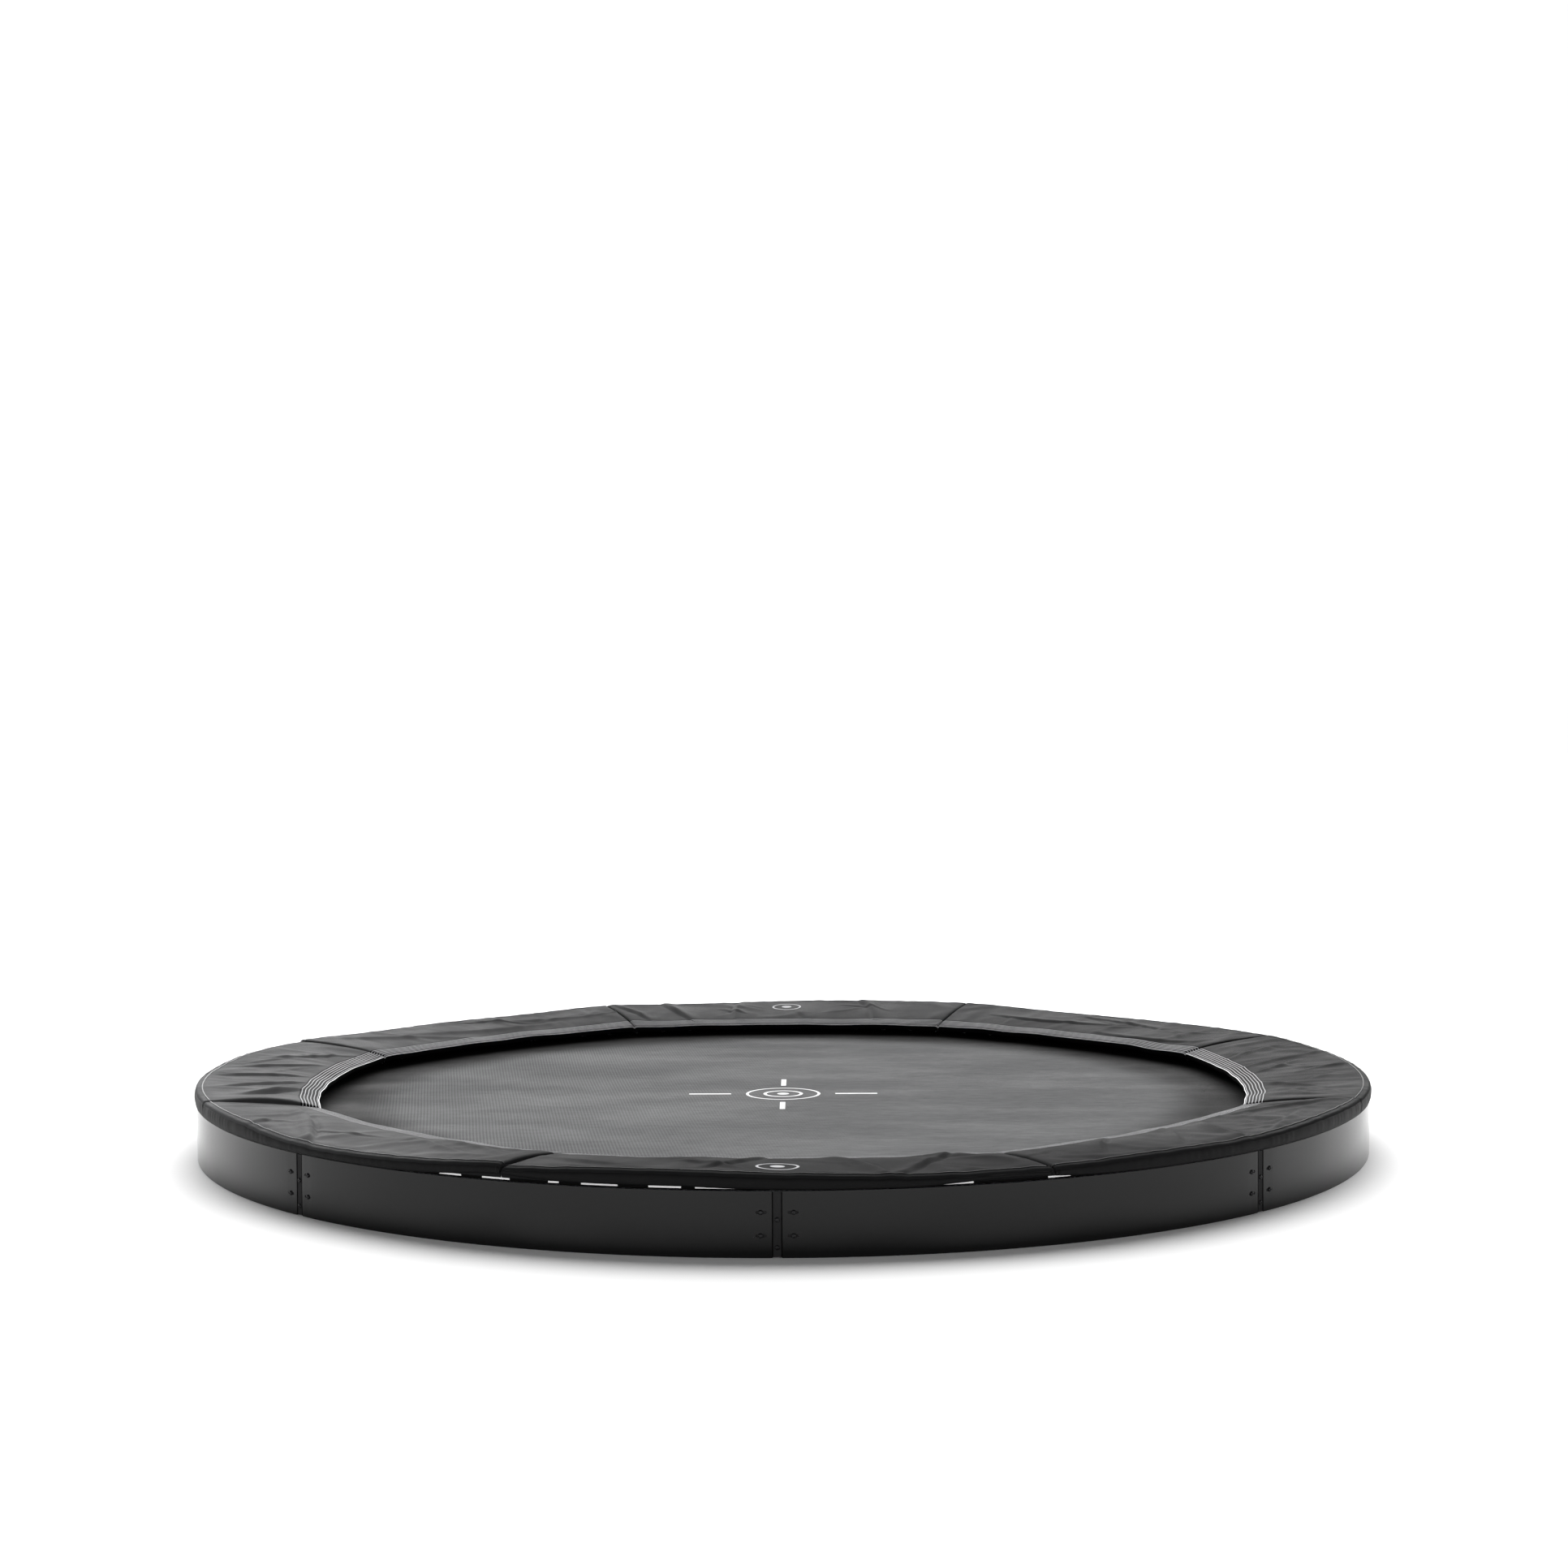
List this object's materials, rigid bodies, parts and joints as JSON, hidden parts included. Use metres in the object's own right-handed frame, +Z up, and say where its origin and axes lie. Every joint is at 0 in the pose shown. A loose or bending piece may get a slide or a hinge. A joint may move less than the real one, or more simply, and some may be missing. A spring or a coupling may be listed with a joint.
{
  "type": "backyard trampoline",
  "caption": "Low round in-ground garden trampoline: curved steel wall panels, sprung woven jump mat and a padded edge with a striped inner border.",
  "frame": {"origin": "the centre of the ring, at ground level", "axes": "+Z up, through the middle of the jump mat; -Y towards joint 1, which faces the viewer in the picture, and +X to the right from there"},
  "size_m": [4.286, 4.286, 0.243],
  "materials": {
    "wall_paint": "satin",
    "frame_paint": "satin",
    "zinc": "satin",
    "bolt_black": "satin",
    "mat_weave": "matte",
    "webbing": "matte",
    "pad_cover": "satin"
  },
  "bodies": {
    "frame": {"joint_plate_1": "frame_paint", "joint_plate_2": "frame_paint", "joint_plate_3": "frame_paint", "joint_plate_4": "frame_paint", "joint_plate_5": "frame_paint", "joint_plate_6": "frame_paint", "joint_plate_7": "frame_paint", "joint_plate_8": "frame_paint", "joint_bolts_1": "bolt_black", "joint_bolts_2": "bolt_black", "joint_bolts_3": "bolt_black", "joint_bolts_4": "bolt_black", "joint_bolts_5": "bolt_black", "joint_bolts_6": "bolt_black", "joint_bolts_7": "bolt_black", "joint_bolts_8": "bolt_black", "leg_1": "zinc", "leg_2": "zinc", "leg_3": "zinc", "leg_4": "zinc", "leg_5": "zinc", "leg_6": "zinc", "leg_7": "zinc", "leg_8": "zinc", "pad_section_1": "pad_cover", "pad_section_2": "pad_cover", "pad_section_3": "pad_cover", "pad_section_4": "pad_cover", "pad_section_5": "pad_cover", "pad_section_6": "pad_cover", "pad_section_7": "pad_cover", "pad_section_8": "pad_cover", "wall_panel_1": "wall_paint", "wall_panel_2": "wall_paint", "wall_panel_3": "wall_paint", "wall_panel_4": "wall_paint", "wall_panel_5": "wall_paint", "wall_panel_6": "wall_paint", "wall_panel_7": "wall_paint", "wall_panel_8": "wall_paint", "top_tube_1": "zinc", "top_tube_2": "zinc", "top_tube_3": "zinc", "top_tube_4": "zinc", "top_tube_5": "zinc", "top_tube_6": "zinc", "top_tube_7": "zinc", "top_tube_8": "zinc", "spring_row_1": "zinc", "spring_row_2": "zinc", "spring_row_3": "zinc", "spring_row_4": "zinc", "spring_row_5": "zinc", "spring_row_6": "zinc", "spring_row_7": "zinc", "spring_row_8": "zinc"},
    "mat": {"jump_mat": "mat_weave", "mat_hem": "webbing"}
  },
  "joints": [
    {"name": "mat_bounce", "type": "slide", "parent": "frame", "child": "mat", "axis": [0, 0, 1], "range_m": [-0.125, 0.012], "stiffness_N_per_m": 4000, "springref_m": 0.0093, "deforming": ["spring_row_1", "spring_row_2", "spring_row_3", "spring_row_4", "spring_row_5", "spring_row_6", "spring_row_7", "spring_row_8"]}
  ]
}
